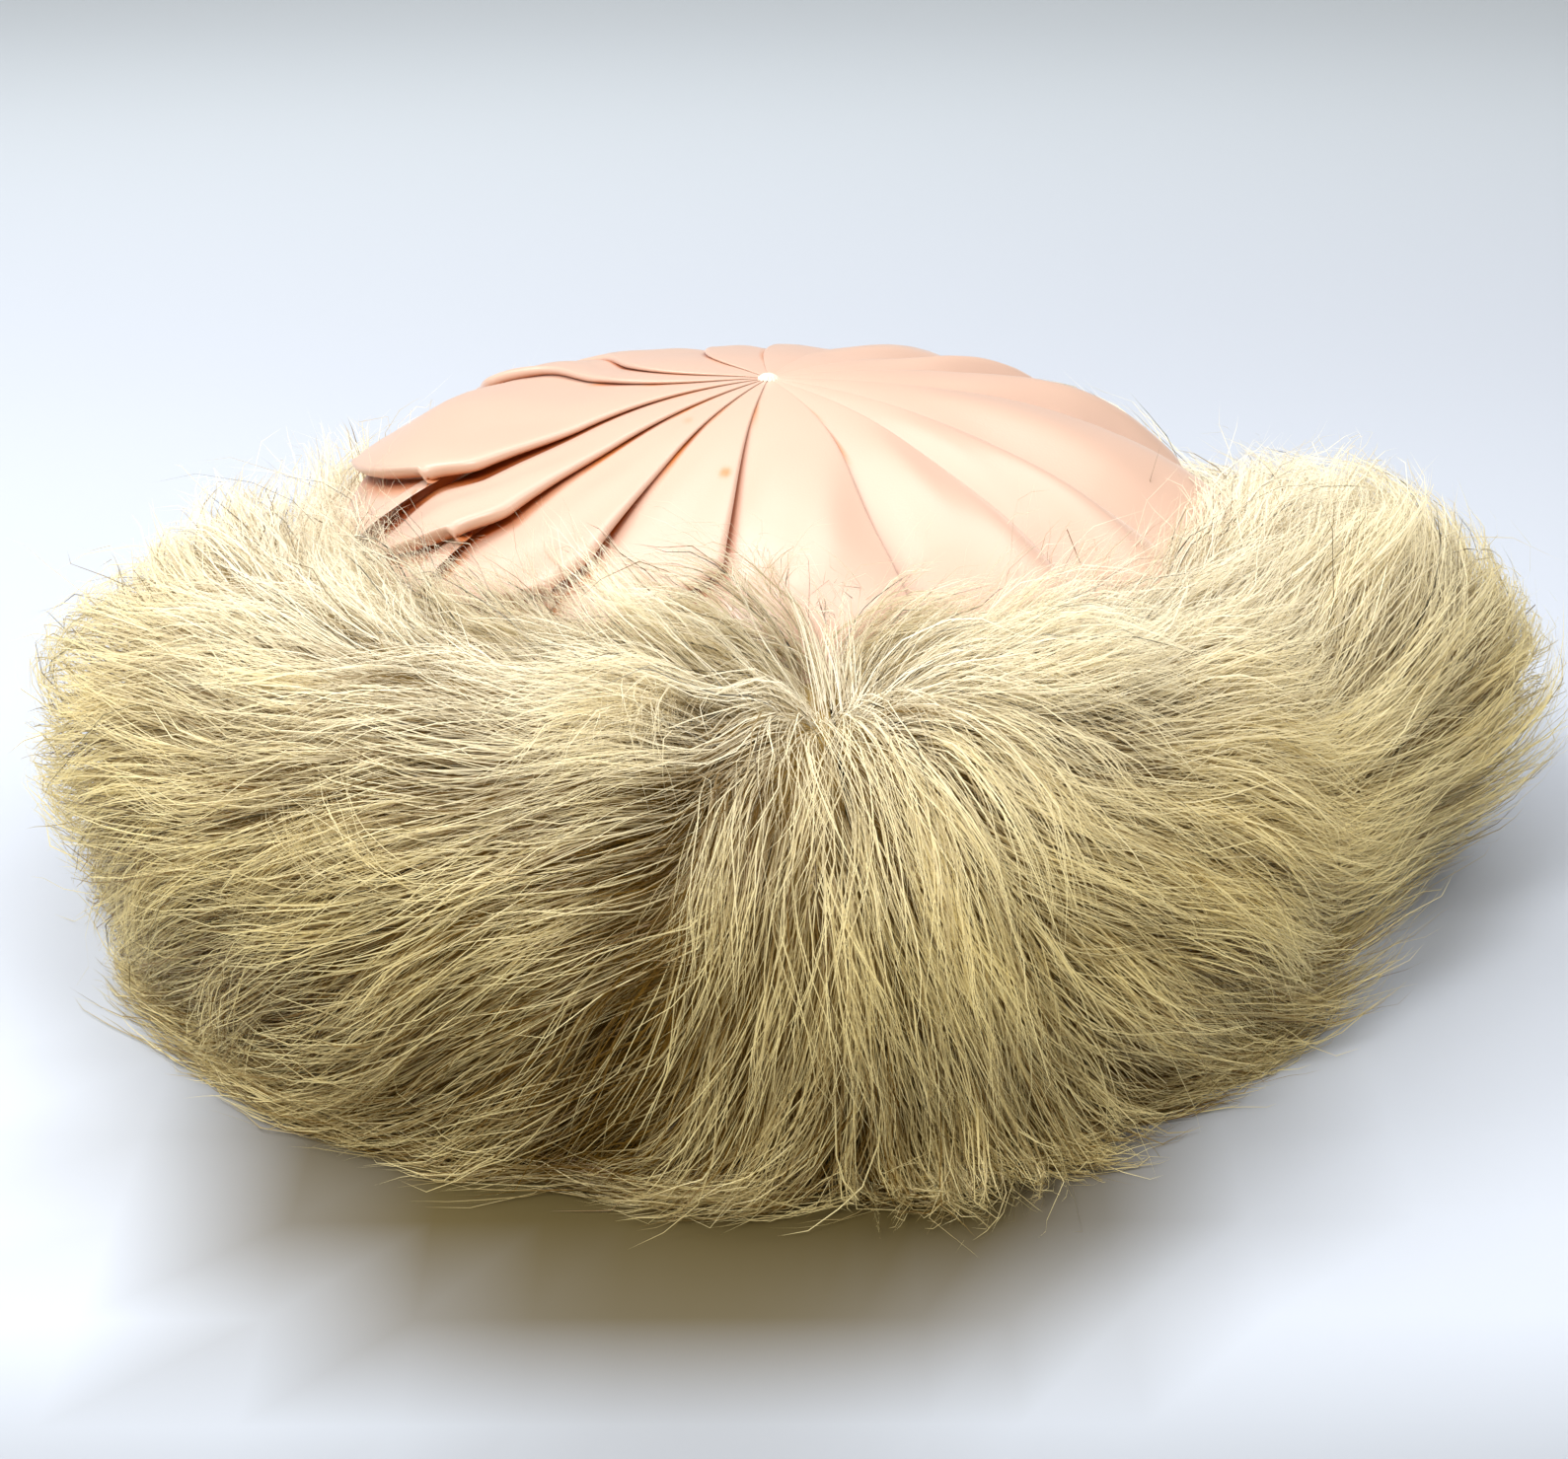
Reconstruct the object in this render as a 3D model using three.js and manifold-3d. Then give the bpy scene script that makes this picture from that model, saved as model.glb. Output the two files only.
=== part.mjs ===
// A woman's round winter hat: a low crown of satin folded into fifteen lapped pleats that meet at one
// stitched point, in a deep band of long cream fur. The band is three strips of pelt, joined at the front
// parting, at a lap on the right and at the back. The hat stands on the fur, with the head opening
// underneath. Millimetres, +Z up. The wearer's front is -Y. Azimuths are degrees from +X, turning towards
// +Y.
import * as THREE from "three";
import { ParametricGeometry } from "three/addons/geometries/ParametricGeometry.js";
import { mergeVertices } from "three/addons/utils/BufferGeometryUtils.js";
import Module from "manifold-3d";

const wasm = await Module();
wasm.setup();
const radians = THREE.MathUtils.degToRad;
const { lerp, clamp, smoothstep } = THREE.MathUtils;

// Driving dimensions
const headRadius = 90; // a head opening 565 mm round
const wall = 2; // satin with its stiff net behind it
const crownTop = 101; // the stitched point above the table
const crownRadius = 106; // the widest of the crown, hidden in the fur
const crownDrop = 48; // from the stitched point down to the widest
const hemHeight = 4; // the crown's lower edge above the table
const seat = 0.5; // what parts the fur from the crown
const seam = 0.3; // what parts two strips of fur
const furInner = headRadius + wall + seat;

// The point at an azimuth, a radius and a height
function polar(azimuth, radius, z) {
  return new THREE.Vector3(radius * Math.cos(radians(azimuth)), radius * Math.sin(radians(azimuth)), z);
}
// A profile of (radius, height) turned about the hat's own axis
function turned(profile, sides) {
  return new THREE.LatheGeometry(profile, sides).rotateX(Math.PI / 2);
}

// The crown's meridian as far as the widest: a low dome, flatter than a ball
function domeHeight(radius) {
  return crownTop - crownDrop + crownDrop * (1 - (radius / crownRadius) ** 2) ** 0.625;
}
// Stations down the meridian. relief is how much of a pleat's depth shows there.
const domeStations = [
  { radius: 4, relief: 0 },
  { radius: 18, relief: 0.2 },
  { radius: 38, relief: 0.4 },
  { radius: 58, relief: 0.65 },
  { radius: 72, relief: 0.9 },
  { radius: 79, relief: 1 },
  { radius: 86, relief: 0.95 },
  { radius: 94, relief: 0.8 },
  { radius: 102, relief: 0.6 },
].map((s) => ({ ...s, z: domeHeight(s.radius) }));
const skirtStations = [
  { radius: 106, z: 51, relief: 0.3 },
  { radius: 103, z: 42, relief: 0.1 },
  { radius: 95, z: 34, relief: 0 },
  { radius: headRadius + wall, z: 27, relief: 0 },
  { radius: headRadius + wall, z: hemHeight, relief: 0 },
];
const meridian = [...domeStations, ...skirtStations];

// The pleats. edge is the azimuth of the folded edge near the stitched point, which laps over the next
// pleat; bend is how far the edge sweeps round on its way out; depth is the step down from it; roll is the
// radius where the pleat's puffed end turns under; swell is how far the pleat puffs up over the dome. Angles
// are in degrees.
const pleats = [
  { edge: 0, bend: 0, depth: 4.8, roll: 103, swell: 0 },
  { edge: 24, bend: 0, depth: 4.8, roll: 103, swell: 0 },
  { edge: 47, bend: 0, depth: 4.6, roll: 102, swell: 0 },
  { edge: 70, bend: -3, depth: 4.4, roll: 98, swell: 0 },
  { edge: 94, bend: -8, depth: 4.4, roll: 94, swell: 0 },
  { edge: 124, bend: -22, depth: 4.8, roll: 90, swell: 1 },
  { edge: 160, bend: -32, depth: 5.2, roll: 88, swell: 3 },
  { edge: 180, bend: -36, depth: 5.6, roll: 86, swell: 5 },
  { edge: 199, bend: 7, depth: 6.4, roll: 82, swell: 6 },
  { edge: 222, bend: 1, depth: 6.2, roll: 84, swell: 4 },
  { edge: 241, bend: 2, depth: 5.6, roll: 86, swell: 2 },
  { edge: 261, bend: 2, depth: 5.6, roll: 85, swell: 1 },
  { edge: 286, bend: 3, depth: 4.4, roll: 99, swell: 0 },
  { edge: 303, bend: 9, depth: 4.6, roll: 101, swell: 0 },
  { edge: 333, bend: 8, depth: 4.8, roll: 103, swell: 0 },
];
const turnUnder = 8; // how much radius a pleat's end takes to turn under
const puff = [0, 0.55, 0.88, 1]; // the height across a pleat, from the tucked side to the folded edge
const stepAngle = 1.4; // the width of the step under a folded edge, in degrees

// A point of the meridian, from 0 at the stitched point to 1 at the hem
function meridianAt(row) {
  return meridian[clamp(row, 0, meridian.length - 1)];
}
// The outward normal of the meridian in the (radius, z) plane
function meridianNormal(row) {
  const a = meridianAt(row - 1);
  const b = meridianAt(row + 1);
  return new THREE.Vector2(a.z - b.z, b.radius - a.radius).normalize();
}
// How much of the pleat's puff is left at a radius, once its end has begun to turn under
function endOf(pleat, station) {
  return 1 - smoothstep(station.radius, pleat.roll, pleat.roll + turnUnder);
}

const columns = pleats.length * puff.length;
// A point of the crown's outer face, sunk along the normal by the pleats and by inset
function crownPoint(column, row, inset) {
  const which = Math.floor(column / puff.length) % pleats.length;
  const within = column % puff.length;
  const pleat = pleats[which];
  const before = pleats[(which + pleats.length - 1) % pleats.length];
  const station = meridianAt(row);
  const swing = (p) => p.edge + p.bend * smoothstep(station.radius, 8, 62);
  const start = swing(before) + stepAngle;
  const span = (swing(pleat) - start + 720) % 360; // from the tucked side to the folded edge
  const azimuth = radians(start + (span * within) / (puff.length - 1));
  const raised = puff[within] * endOf(pleat, station);
  const over = smoothstep(station.radius, 40, 72) * (1 - smoothstep(station.radius, 82, 94));
  const swelled = row < domeStations.length ? over * lerp(before.swell, pleat.swell, puff[within]) : 0;
  const sink = pleat.depth * station.relief * (1 - raised) + inset - swelled;
  const normal = meridianNormal(row);
  const back = inset / Math.max(station.radius, 12); // the step's own wall
  const radius = station.radius - normal.x * sink;
  const shift = row > domeStations.length + 1 ? 0 : back * raised;
  return new THREE.Vector3(
    radius * Math.cos(azimuth - shift),
    radius * Math.sin(azimuth - shift),
    station.z - normal.y * sink,
  );
}
// The whole shell in one sheet: the outer face from the point down to the hem, then the inner face back up
function crownShell() {
  const rows = meridian.length;
  const last = 2 * rows + 1;
  const face = (u, v, target) => {
    const column = Math.round((1 - u) * columns) % columns;
    const row = Math.round(v * last);
    if (row === 0) target.set(0, 0, crownTop - 0.4);
    else if (row === last) target.set(0, 0, crownTop - 0.4 - wall);
    else if (row <= rows) target.copy(crownPoint(column, row - 1, 0));
    else {
      target.copy(crownPoint(column, 2 * rows - row, wall));
      if (row === rows + 1) target.z = hemHeight;
    }
  };
  return new ParametricGeometry(face, columns, last);
}

// The stitched point: the pleats' ends drawn up into a small knot
const knot = { radius: 2.2, height: 1.3, lobes: 8 };
function knotShape() {
  const profile = new THREE.SplineCurve([
    new THREE.Vector2(0, 0),
    new THREE.Vector2(knot.radius, 0.1),
    new THREE.Vector2(knot.radius * 0.8, knot.height * 0.7),
    new THREE.Vector2(0, knot.height),
  ]).getPoints(7);
  profile[0].x = 0;
  profile.at(-1).x = 0;
  return turned(profile, knot.lobes);
}

// The fur's section, from inside the crown over the crest to the floor. reach is the share of the way from
// the section's start to the band's widest, rise the share of the crest's height.
const furStart = 92;
const furSection = new THREE.SplineCurve(
  [
    { reach: 0, rise: 0.86 },
    { reach: 0.16, rise: 0.97 },
    { reach: 0.34, rise: 1.03 },
    { reach: 0.54, rise: 1 },
    { reach: 0.74, rise: 0.9 },
    { reach: 0.89, rise: 0.72 },
    { reach: 0.98, rise: 0.48 },
    { reach: 0.98, rise: 0.25 },
    { reach: 0.88, rise: 0.06 },
    { reach: 0.8, rise: 0 },
  ].map((s) => new THREE.Vector2(s.reach, s.rise)),
);
// The band round the hat. widest is its outer radius without the tips of the locks, crest its height, foot
// how far it stands out at the table.
const band = [
  { azimuth: 0, widest: 151, crest: 66, foot: -8 },
  { azimuth: 20, widest: 148, crest: 58, foot: -6 },
  { azimuth: 40, widest: 143, crest: 53, foot: 0 },
  { azimuth: 60, widest: 141, crest: 56, foot: 0 },
  { azimuth: 90, widest: 141, crest: 58, foot: 0 },
  { azimuth: 120, widest: 138, crest: 55, foot: 0 },
  { azimuth: 140, widest: 132, crest: 51, foot: 0 },
  { azimuth: 155, widest: 130, crest: 49, foot: 0 },
  { azimuth: 170, widest: 137, crest: 51, foot: 0 },
  { azimuth: 185, widest: 145, crest: 58, foot: 0 },
  { azimuth: 200, widest: 148, crest: 65, foot: 0 },
  { azimuth: 215, widest: 150, crest: 69, foot: 2 },
  { azimuth: 235, widest: 151, crest: 70, foot: 4 },
  { azimuth: 255, widest: 148, crest: 70, foot: 2 },
  { azimuth: 276, widest: 147, crest: 69, foot: 1 },
  { azimuth: 295, widest: 143, crest: 71, foot: 0 },
  { azimuth: 312, widest: 138, crest: 69, foot: -1 },
  { azimuth: 325, widest: 137, crest: 69, foot: -5 },
  { azimuth: 340, widest: 145, crest: 71, foot: -12 },
  { azimuth: 350, widest: 150, crest: 70, foot: -11 },
];
// A column of a table of azimuths, smoothly between its rows and all the way round
function around(table, name, azimuth) {
  const a = ((azimuth % 360) + 360) % 360;
  const n = table.length;
  let i = table.findLastIndex((row) => row.azimuth <= a);
  if (i < 0) i = n - 1;
  const next = (i + 1) % n;
  const gap = (table[next].azimuth - table[i].azimuth + 360) % 360;
  const share = ((a - table[i].azimuth + 360) % 360) / gap;
  return lerp(table[i][name], table[next][name], share * share * (3 - 2 * share));
}
// A point on the fur's smooth outer face, lifted off it by height. along runs from 0 at the lip to 1 at
// the floor.
function furPoint(azimuth, along, height = 0) {
  const widest = around(band, "widest", azimuth);
  const crest = around(band, "crest", azimuth);
  const at = furSection.getPoint(clamp(along, 0, 1));
  const slope = furSection.getTangent(clamp(along, 0, 1));
  const normal = new THREE.Vector2(-slope.y * crest, slope.x * (widest - furStart)).normalize();
  const spread = around(band, "foot", azimuth) * (1 - smoothstep(at.y, 0, 0.7));
  const radius = furStart + at.x * (widest - furStart) + normal.x * height + spread;
  const z = Math.max(at.y * crest + normal.y * height, 0);
  return polar(azimuth, radius, z);
}

const ringSteps = 48;
const faceSteps = 10;
// The plain backing: the section carried round the hat as one closed ring. Its inner side is cut to the
// crown later.
function furBacking() {
  const sides = faceSteps + 2;
  const face = (u, v, target) => {
    const side = Math.round(u * sides) % sides;
    const azimuth = (Math.round(v * ringSteps) % ringSteps) * (360 / ringSteps);
    if (side > 0) target.copy(furPoint(azimuth, (side - 1) / faceSteps));
    else target.copy(polar(azimuth, furStart - 4, 0));
  };
  return new ParametricGeometry(face, sides, ringSteps);
}

// How the fur lies. away is the angle round the hat from the parting, right of it positive; the other
// columns are the slant of the hair from the band's own direction down towards the floor, at the lip, on
// the face and at the floor.
const parting = 276;
const nap = [
  { away: -180, lip: 10, face: 15, floor: 35 },
  { away: -115, lip: 14, face: 12, floor: 32 },
  { away: -60, lip: 12, face: 15, floor: 32 },
  { away: -28, lip: 8, face: 24, floor: 42 },
  { away: -14, lip: 20, face: 45, floor: 58 },
  { away: 0, lip: 80, face: 90, floor: 90 },
  { away: 10, lip: 45, face: 68, floor: 80 },
  { away: 26, lip: 14, face: 34, floor: 58 },
  { away: 38, lip: 8, face: 26, floor: 54 },
  { away: 44, lip: 20, face: -20, floor: -5 },
  { away: 85, lip: 25, face: -22, floor: 0 },
  { away: 130, lip: 14, face: 2, floor: 24 },
  { away: 180, lip: 10, face: 15, floor: 35 },
];
function napAt(away, along) {
  const i = clamp(nap.findLastIndex((row) => row.away <= away), 0, nap.length - 2);
  const share = clamp((away - nap[i].away) / (nap[i + 1].away - nap[i].away), 0, 1);
  const column = (name) => lerp(nap[i][name], nap[i + 1][name], share);
  const upper = lerp(column("lip"), column("face"), clamp(along / 0.45, 0, 1));
  return radians(lerp(upper, column("floor"), clamp((along - 0.45) / 0.55, 0, 1)));
}
// The path of a lock over the face: short steps along the nap, which leads away from the parting on both
// sides
function lockPath(away, along, length, steps) {
  const side = away < 0 ? -1 : 1;
  const path = [{ away, along }];
  for (let i = 0; i < steps; i += 1) {
    const from = path.at(-1);
    const here = furPoint(parting + from.away, from.along);
    const below = furPoint(parting + from.away, Math.min(from.along + 0.02, 1));
    const downward = below.distanceTo(here) / 0.02 || 150;
    const slant = napAt(from.away, from.along);
    const radius = Math.hypot(here.x, here.y);
    path.push({
      away: from.away + (side * Math.cos(slant) * (length / steps) * 180) / Math.PI / radius,
      along: clamp(from.along + (Math.sin(slant) * (length / steps)) / downward, 0, 1),
    });
  }
  return path;
}

// One lock: a four-sided taper whose keel stays sunk in the backing and whose tip stands off. lift is the
// share of the tip's height that a section has reached.
const lockSections = [
  { at: 0, width: 0.55, lift: 0 },
  { at: 1, width: 1, lift: 0.45 },
  { at: 2, width: 0.8, lift: 0.85 },
];
const lockSteps = 3;
const keel = 4.5;
function lock({ away, along, length, width, lift }) {
  const path = lockPath(away, along, length, lockSteps);
  const centre = path.map((p) => ({
    top: furPoint(parting + p.away, p.along),
    keel: furPoint(parting + p.away, p.along, -keel),
  }));
  const last = lockSections.length + 1;
  const face = (u, v, target) => {
    const row = Math.round(v * last);
    const here = centre[row === last ? lockSteps : lockSections[Math.max(row - 1, 0)].at];
    const outward = here.top.clone().sub(here.keel).normalize();
    if (row === last) target.copy(here.top).addScaledVector(outward, lift);
    else if (row === 0) target.copy(here.keel).addScaledVector(outward, keel / 2);
    else {
      const s = lockSections[row - 1];
      const forward = centre[s.at + 1].top.clone().sub(here.top).normalize();
      const sideways = new THREE.Vector3().crossVectors(outward, forward).normalize();
      const corner = Math.round((1 - u) * 4) % 4;
      if (corner === 1) target.copy(here.top).addScaledVector(outward, s.lift * lift);
      else if (corner === 3) target.copy(here.keel);
      else target.copy(here.top).addScaledVector(outward, -1);
      if (corner % 2 === 0) target.addScaledVector(sideways, ((corner - 1) * s.width * width) / 2);
    }
  };
  return new ParametricGeometry(face, 4, last);
}
// Rows of locks from the lip to the floor, each row shifted against the one above it
const lockRows = [
  { along: 0.1, count: 17, length: 46, width: 26, lift: 6 },
  { along: 0.3, count: 17, length: 56, width: 30, lift: 8 },
  { along: 0.47, count: 17, length: 60, width: 32, lift: 10 },
  { along: 0.64, count: 17, length: 56, width: 32, lift: 10 },
];
function lockTable() {
  return lockRows.flatMap((row, r) =>
    Array.from({ length: row.count }, (_, i) => {
      const wander = Math.sin(12.9 * i + 4.7 * r); // an even count would look combed
      return {
        away: ((i + 0.5 * ((r + 1) % 2) + 0.2 * wander) * 360) / row.count - 180,
        along: row.along + 0.03 * Math.sin(7.3 * i + 2.1 * r),
        length: row.length * (1 + 0.14 * wander),
        width: row.width,
        lift: row.lift * (1 + 0.3 * Math.sin(5.1 * i + r)),
      };
    }),
  );
}

// A three.js geometry as a solid that can be joined and cut, and back
function solid(geometry) {
  const bare = new THREE.BufferGeometry();
  bare.setAttribute("position", geometry.getAttribute("position"));
  bare.setIndex(geometry.getIndex());
  const merged = mergeVertices(bare, 1e-3);
  const made = new wasm.Manifold(
    new wasm.Mesh({
      numProp: 3,
      vertProperties: merged.attributes.position.array,
      triVerts: new Uint32Array(merged.index.array),
    }),
  );
  return made;
}
function geometryOf(made) {
  const mesh = made.getMesh();
  const geometry = new THREE.BufferGeometry();
  const corners = new Float32Array(mesh.numVert * 3);
  for (let i = 0; i < mesh.numVert; i += 1) {
    corners.set(mesh.vertProperties.subarray(i * mesh.numProp, i * mesh.numProp + 3), i * 3);
  }
  geometry.setAttribute("position", new THREE.BufferAttribute(corners, 3));
  geometry.setIndex(new THREE.BufferAttribute(new Uint32Array(mesh.triVerts), 1));
  return geometry;
}
// The largest body of a solid, with any small hollow shut in under the locks filled. Corners that only
// touch come apart when the numbers are rounded, so it is repeated until one body is left.
function largestBody(made) {
  let bodies = [made, made];
  while (bodies.length > 1) {
    bodies = solid(geometryOf(bodies[0])).decompose().sort((a, b) => b.volume() - a.volume());
  }
  return bodies[0];
}

// Where no fur may be: inside the crown's outline and its clearance. The dome is raised a little more than
// the clearance, because the crown's facets and the fur's don't lie over one another.
function crownRoom() {
  const outline = [
    new THREE.Vector2(0, -20),
    new THREE.Vector2(furInner + 0.3, -20),
    new THREE.Vector2(furInner + 0.3, 27.3),
    new THREE.Vector2(95.8, 33.6),
    new THREE.Vector2(103.9, 41.4),
    new THREE.Vector2(107.1, 51),
    ...domeStations.toReversed().map((s) => new THREE.Vector2(s.radius + 1.1, s.z + 1)),
    new THREE.Vector2(0, crownTop + 4),
  ];
  return turned(outline, 2 * ringSteps);
}
function slab(low, high, reach = 260) {
  return new THREE.BoxGeometry(2 * reach, 2 * reach, high - low).translate(0, 0, (low + high) / 2);
}

// The strips, from one joint to the next. lean is how far the outer end of the joint at its start runs on
// over the next strip, in degrees: at the lap the front strip's tips lie over the right one.
const joints = [
  { azimuth: parting, lean: 0 },
  { azimuth: parting + 38, lean: 9 },
  { azimuth: parting - 180, lean: 0 },
];
const strips = [
  { name: "fur_strip_front", from: 0, to: 1 },
  { name: "fur_strip_right", from: 1, to: 2 },
  { name: "fur_strip_left", from: 2, to: 0 },
];
function wedge(from, to) {
  const inner = 60;
  const outer = 230;
  const middle = 120;
  const half = seam / 2;
  const corner = (joint, radius, toward) => {
    const leaned = radians(joint.azimuth + (joint.lean * (radius - middle)) / (150 - middle) / 2);
    return new THREE.Vector2(
      radius * Math.cos(leaned) - toward * half * Math.sin(leaned),
      radius * Math.sin(leaned) + toward * half * Math.cos(leaned),
    );
  };
  const span = (to.azimuth - from.azimuth + 360) % 360;
  const arcSteps = Math.ceil(span / 15);
  const stepOf = (i) => radians(from.azimuth + (span * (i + 1)) / arcSteps);
  const arc = Array.from({ length: arcSteps - 1 }, (_, i) => stepOf(i));
  const ray = (angle, radius) => new THREE.Vector2(radius * Math.cos(angle), radius * Math.sin(angle));
  const outline = [
    corner(from, inner, 1),
    corner(from, 170, 1),
    ...arc.map((angle) => ray(angle, outer)),
    corner(to, 170, -1),
    corner(to, inner, -1),
    ...arc.reverse().map((angle) => ray(angle, inner)),
  ];
  const shape = new THREE.Shape(outline);
  return new THREE.ExtrudeGeometry(shape, { depth: 200, bevelEnabled: false }).translate(0, 0, -50);
}

// Colours as the eye sees them
const satin = new THREE.MeshStandardMaterial({ color: 0xfbdcc2, roughness: 0.32, metalness: 0 });
const thread = new THREE.MeshStandardMaterial({ color: 0xf6e3cf, roughness: 0.6, metalness: 0 });
const fur = new THREE.MeshStandardMaterial({ color: 0xd9c898, roughness: 0.75, metalness: 0 });

function named(name, geometry, material) {
  const mesh = new THREE.Mesh(geometry, material);
  mesh.name = name;
  return mesh;
}

const locks = lockTable().reduce((joined, one) => joined.add(solid(lock(one))), solid(furBacking()));
const ring = largestBody(locks.subtract(solid(crownRoom())).subtract(solid(slab(-60, 0))));

// The table is z = 0, and the middle of the fur's outline stands over the origin
const outline = ring.boundingBox();
const shift = [-(outline.min[0] + outline.max[0]) / 2, -(outline.min[1] + outline.max[1]) / 2, 0];

const hat = new THREE.Group();
hat.add(named("crown", crownShell().translate(...shift), satin));
hat.add(named("crown_tack", knotShape().translate(0, 0, crownTop - 0.1).translate(...shift), thread));
for (const strip of strips) {
  const cut = ring.intersect(solid(wedge(joints[strip.from], joints[strip.to])));
  hat.add(named(strip.name, geometryOf(largestBody(cut.translate(shift))), fur));
}

export default hat;
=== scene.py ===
"""A round winter hat on a pale table: a satin crown of fifteen lapped pleats in a band of cream fur.

Lengths are in millimetres from the crown's axis, until a mesh is made in metres. Azimuths are degrees
from +X, turning towards +Y, and the front is -Y. "away" is the angle round the band from the front
parting, positive to the right of it; "along" runs over the fur from 0 at the crown to 1 at the table.
"""

import bpy
import numpy as np
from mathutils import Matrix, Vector


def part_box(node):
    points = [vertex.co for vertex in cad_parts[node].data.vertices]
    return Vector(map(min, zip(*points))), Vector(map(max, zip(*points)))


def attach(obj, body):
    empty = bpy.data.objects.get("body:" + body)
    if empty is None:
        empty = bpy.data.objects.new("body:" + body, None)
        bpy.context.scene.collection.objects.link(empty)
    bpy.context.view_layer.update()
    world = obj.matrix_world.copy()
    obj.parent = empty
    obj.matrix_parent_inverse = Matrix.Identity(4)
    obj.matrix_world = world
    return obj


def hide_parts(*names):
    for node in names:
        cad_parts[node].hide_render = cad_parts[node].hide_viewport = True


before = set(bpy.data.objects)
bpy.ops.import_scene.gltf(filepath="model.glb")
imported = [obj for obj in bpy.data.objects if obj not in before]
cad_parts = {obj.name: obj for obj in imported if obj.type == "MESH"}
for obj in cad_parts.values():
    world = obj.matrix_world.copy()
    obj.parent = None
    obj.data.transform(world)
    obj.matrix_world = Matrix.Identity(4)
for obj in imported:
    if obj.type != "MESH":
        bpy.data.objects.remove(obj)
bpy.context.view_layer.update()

MM = 0.001
tack_low, tack_high = (np.array(corner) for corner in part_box("crown_tack"))
AXIS = np.array([*((tack_low + tack_high)[:2] / 2), 0.0])


# Small tools


def linear(code):
    """A colour written as the eye sees it, "#rrggbb", as linear light: the sRGB curve undone."""
    c = np.array([int(code[i : i + 2], 16) for i in (1, 3, 5)]) / 255
    return np.where(c <= 0.04045, c / 12.92, ((c + 0.055) / 1.055) ** 2.4)


def smooth(x, low, high):
    """0 below low and 1 above high, and between them 3 t^2 - 2 t^3 of the share t of the way."""
    t = np.clip((x - low) / (high - low), 0, 1)
    return t * t * (3 - 2 * t)


def lerp(a, b, t):
    """What lies between a and b, at the share t of the way."""
    return a + (b - a) * t


def unit(v):
    """Vectors made one long: each divided by its length."""
    return v / np.maximum(np.linalg.norm(v, axis=-1, keepdims=True), 1e-9)


def reading(table, column, at, period=None):
    """A column of a table, read straight between its rows; the first column is where each row stands."""
    table = np.array(table, float)
    return np.interp(at, table[:, 0], table[:, column], period=period)


def spline(points, count):
    """Points at even steps of length along a smooth curve through the given ones.

    Between two points it is the cubic whose slope at each is half the step between its neighbours."""
    p = np.array(points, float)
    p = np.vstack([2 * p[0] - p[1], p, 2 * p[-1] - p[-2]])
    t = np.linspace(0, len(p) - 3 - 1e-9, 40 * len(p))
    i, f = t.astype(int), (t % 1)[:, None]
    a, b, c, d = p[i], p[i + 1], p[i + 2], p[i + 3]
    bow, twist = 2 * a - 5 * b + 4 * c - d, 3 * b - a - 3 * c + d
    curve = 0.5 * (2 * b + (c - a) * f + bow * f**2 + twist * f**3)
    length = np.append(0, np.cumsum(np.linalg.norm(np.diff(curve, axis=0), axis=1)))
    at = np.linspace(0, length[-1], count)
    return np.stack([np.interp(at, length, curve[:, k]) for k in range(curve.shape[1])], axis=1)


def turned(radius, azimuth, z):
    """Points from their distance to the axis, azimuth and height: radius cos, radius sin, height."""
    a = np.radians(azimuth)
    return np.stack([radius * np.cos(a), radius * np.sin(a), z + 0 * a], axis=-1)


def piece(name, points, faces, material, colour=None, normals=None):
    """A mesh object from arrays: points in mm from the crown's axis, faces as arrays of corners."""
    mesh = bpy.data.meshes.new(name)
    sizes = np.concatenate([np.full(len(f), f.shape[1]) for f in faces])
    corners = np.concatenate([f.ravel() for f in faces]).astype(np.int32)
    mesh.vertices.add(len(points))
    mesh.vertices.foreach_set("co", (points * MM + AXIS).astype(np.float32).ravel())
    mesh.loops.add(len(corners))
    mesh.loops.foreach_set("vertex_index", corners)
    mesh.polygons.add(len(sizes))
    mesh.polygons.foreach_set("loop_start", np.append(0, np.cumsum(sizes)[:-1]).astype(np.int32))
    mesh.polygons.foreach_set("use_smooth", np.ones(len(sizes), bool))
    mesh.update(calc_edges=True)
    if colour is not None:
        tint = mesh.color_attributes.new("tint", "FLOAT_COLOR", "POINT")
        opaque = np.hstack([colour, np.ones((len(colour), 1))])
        tint.data.foreach_set("color", opaque.astype(np.float32).ravel())
    if normals is not None:
        mesh.normals_split_custom_set_from_vertices(normals.astype(np.float32))
    mesh.materials.append(material)
    obj = bpy.data.objects.new(name, mesh)
    bpy.context.scene.collection.objects.link(obj)
    return obj


def grid_faces(rows, columns, closed=True):
    """Four-cornered faces of a grid of points, row by row; closed joins the last column to the first."""
    across = columns if closed else columns - 1
    r, c = np.meshgrid(np.arange(rows - 1), np.arange(across), indexing="ij")
    here, right = r * columns + c, r * columns + (c + 1) % columns
    return np.stack([here, here + columns, right + columns, right], axis=-1).reshape(-1, 4)


# The satin crown

CROWN_TOP, CROWN_RADIUS, CROWN_DROP = 101.0, 106.0, 48.0
HEM = [(106, 51), (103, 42), (95, 34), (92, 27), (92, 4)]
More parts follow.
